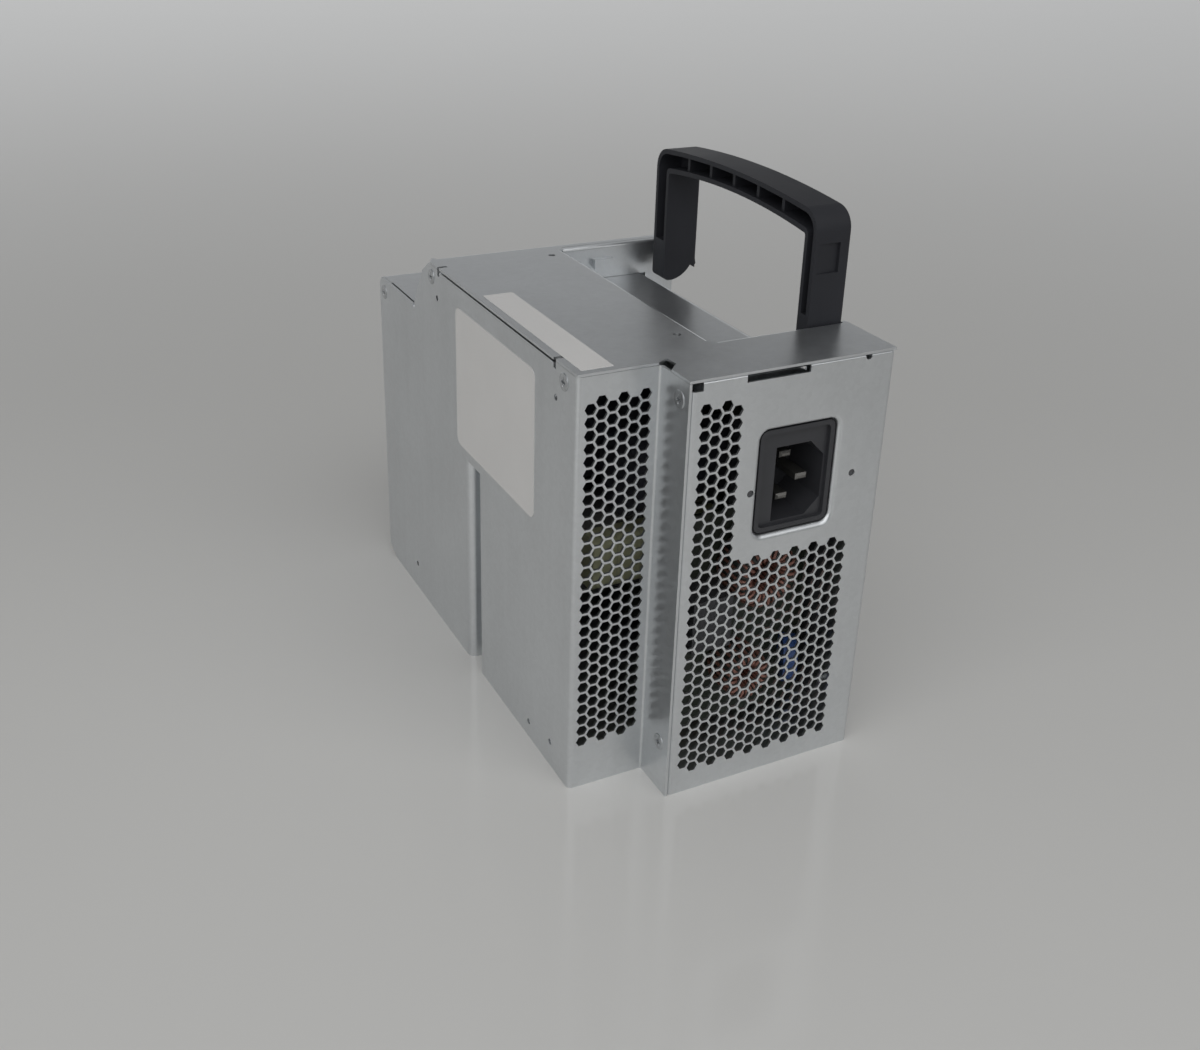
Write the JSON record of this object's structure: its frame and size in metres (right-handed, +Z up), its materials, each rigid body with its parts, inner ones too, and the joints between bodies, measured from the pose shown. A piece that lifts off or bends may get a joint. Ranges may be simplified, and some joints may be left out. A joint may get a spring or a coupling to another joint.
{
  "type": "workstation power supply",
  "caption": "Stepped sheet-steel computer power supply with hexagonal vents, a mains inlet, a side guide groove, a rear fan and a folding carry handle.",
  "frame": {"origin": "centre of the footprint, on the surface the case stands on", "axes": "+Z up, the mains inlet faces -Y, the guide groove is on the -X side, the rear fan faces +Y"},
  "size_m": [0.0968, 0.186, 0.1775],
  "materials": {
    "galvanised_steel": "semi-matt zinc coating",
    "zinc_hardware": "bright zinc",
    "black_moulding": "fine matt texture",
    "plated_contact": "bright plating",
    "label_paper": "coated label stock",
    "circuit_board": "bare laminate",
    "insulation_film": "smooth film",
    "copper_winding": "enamelled copper",
    "blue_coating": "dipped epoxy",
    "yellow_tape": "polyester tape",
    "lead_insulation": "extruded insulation",
    "ferrite": "sintered ferrite",
    "can_sleeve": "heat-shrunk sleeve",
    "heat_sink_metal": "plain extrusion",
    "package_plastic": "moulded package",
    "connector_nylon": "natural nylon"
  },
  "bodies": {
    "case": {"base_pan": "galvanised_steel", "board_screws": "zinc_hardware", "board_standoffs": "zinc_hardware", "bridge_heat_sink": "heat_sink_metal", "bulk_capacitors": "can_sleeve", "control_board": "circuit_board", "cover_screws": "zinc_hardware", "emi_choke": "copper_winding", "fan_frame": "black_moulding", "fan_screws": "zinc_hardware", "filter_board": "circuit_board", "handle_pivot_pins": "zinc_hardware", "handle_spacer": "black_moulding", "handle_tray": "galvanised_steel", "inlet_body": "black_moulding", "inlet_leads": "lead_insulation", "inlet_panel": "galvanised_steel", "inlet_pins": "plated_contact", "inlet_rivets": "zinc_hardware", "insulation_sheet": "insulation_film", "main_board": "circuit_board", "output_bus_bars": "copper_winding", "output_capacitors": "can_sleeve", "output_choke": "copper_winding", "output_connector": "connector_nylon", "output_contacts": "plated_contact", "output_heat_sink": "heat_sink_metal", "pfc_choke": "copper_winding", "power_transistors": "package_plastic", "rating_label": "label_paper", "rear_panel": "galvanised_steel", "rear_screws": "zinc_hardware", "shelf_cover": "galvanised_steel", "shelf_screw": "zinc_hardware", "side_screws": "zinc_hardware", "side_wrap": "galvanised_steel", "step_screws": "zinc_hardware", "top_cover": "galvanised_steel", "top_label": "label_paper", "transformer_core": "ferrite", "transformer_winding": "yellow_tape", "varistor": "blue_coating", "x_capacitor": "yellow_tape"},
    "handle": {"handle": "black_moulding"},
    "fan_rotor": {"fan_rotor": "black_moulding"}
  },
  "joints": [
    {"name": "handle_fold", "type": "hinge", "parent": "case", "child": "handle", "pos_m": [0.042, -0.0187, 0.136], "axis": [0, -1, 0], "range_deg": [0, 90]},
    {"name": "fan_spin", "type": "hinge", "parent": "case", "child": "fan_rotor", "pos_m": [0, 0.0785, 0.058], "axis": [0, 1, 0], "continuous": true}
  ]
}
